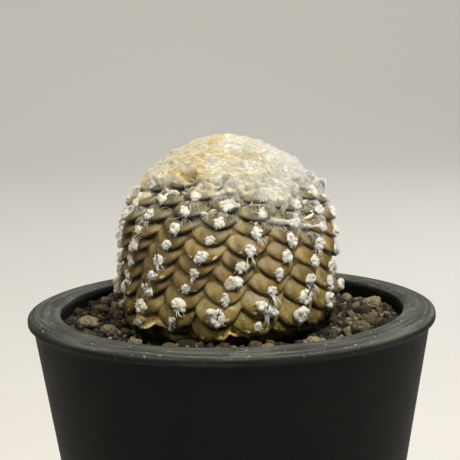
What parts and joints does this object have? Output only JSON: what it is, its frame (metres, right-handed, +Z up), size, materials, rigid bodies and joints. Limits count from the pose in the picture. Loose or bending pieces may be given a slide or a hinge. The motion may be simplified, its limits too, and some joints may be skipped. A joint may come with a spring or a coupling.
{
  "type": "potted round cactus",
  "caption": "Small round tubercled cactus with a woolly crown, planted in a thick-rimmed tapered dark pot of gritty mix.",
  "frame": {"origin": "centre of the pot's foot, on the surface that the pot stands on", "axes": "+Z up; -Y is the side that faces the viewer, +X is the viewer's right"},
  "size_m": [0.1056, 0.1056, 0.1303],
  "materials": {
    "stoneware": "unglazed black stoneware, matte, turned rim",
    "net": "moulded black polyethylene net",
    "mix": "gritty pumice, akadama and bark mix",
    "crumb": "porous pumice and baked clay crumbs",
    "cactus": "waxy olive-brown living skin with a pale bloom",
    "wool": "matted plant wool, cream to white",
    "spine": "horny black spine"
  },
  "bodies": {
    "root": {"areole_wool_01": "wool", "areole_wool_02": "wool", "areole_wool_03": "wool", "areole_wool_04": "wool", "areole_wool_05": "wool", "areole_wool_06": "wool", "areole_wool_07": "wool", "areole_wool_08": "wool", "areole_wool_09": "wool", "areole_wool_10": "wool", "areole_wool_11": "wool", "areole_wool_12": "wool", "areole_wool_13": "wool", "areole_wool_14": "wool", "areole_wool_15": "wool", "areole_wool_16": "wool", "areole_wool_17": "wool", "areole_wool_18": "wool", "areole_wool_19": "wool", "areole_wool_20": "wool", "areole_wool_21": "wool", "areole_wool_22": "wool", "areole_wool_23": "wool", "areole_wool_24": "wool", "areole_wool_25": "wool", "areole_wool_26": "wool", "areole_wool_27": "wool", "areole_wool_28": "wool", "areole_wool_29": "wool", "areole_wool_30": "wool", "cactus_stem": "cactus", "crown_wool": "wool", "drain_net": "net", "mix_crumb_01": "crumb", "mix_crumb_02": "crumb", "mix_crumb_03": "crumb", "mix_crumb_04": "crumb", "mix_crumb_05": "crumb", "mix_crumb_06": "crumb", "mix_crumb_07": "crumb", "mix_crumb_08": "crumb", "mix_crumb_09": "crumb", "mix_crumb_10": "crumb", "mix_crumb_11": "crumb", "mix_crumb_12": "crumb", "mix_crumb_13": "crumb", "mix_crumb_14": "crumb", "pot": "stoneware", "potting_mix": "mix", "spine_01": "spine", "spine_02": "spine", "spine_03": "spine", "spine_04": "spine", "spine_05": "spine", "spine_06": "spine", "spine_07": "spine", "spine_08": "spine", "spine_09": "spine", "spine_10": "spine"}
  },
  "joints": []
}
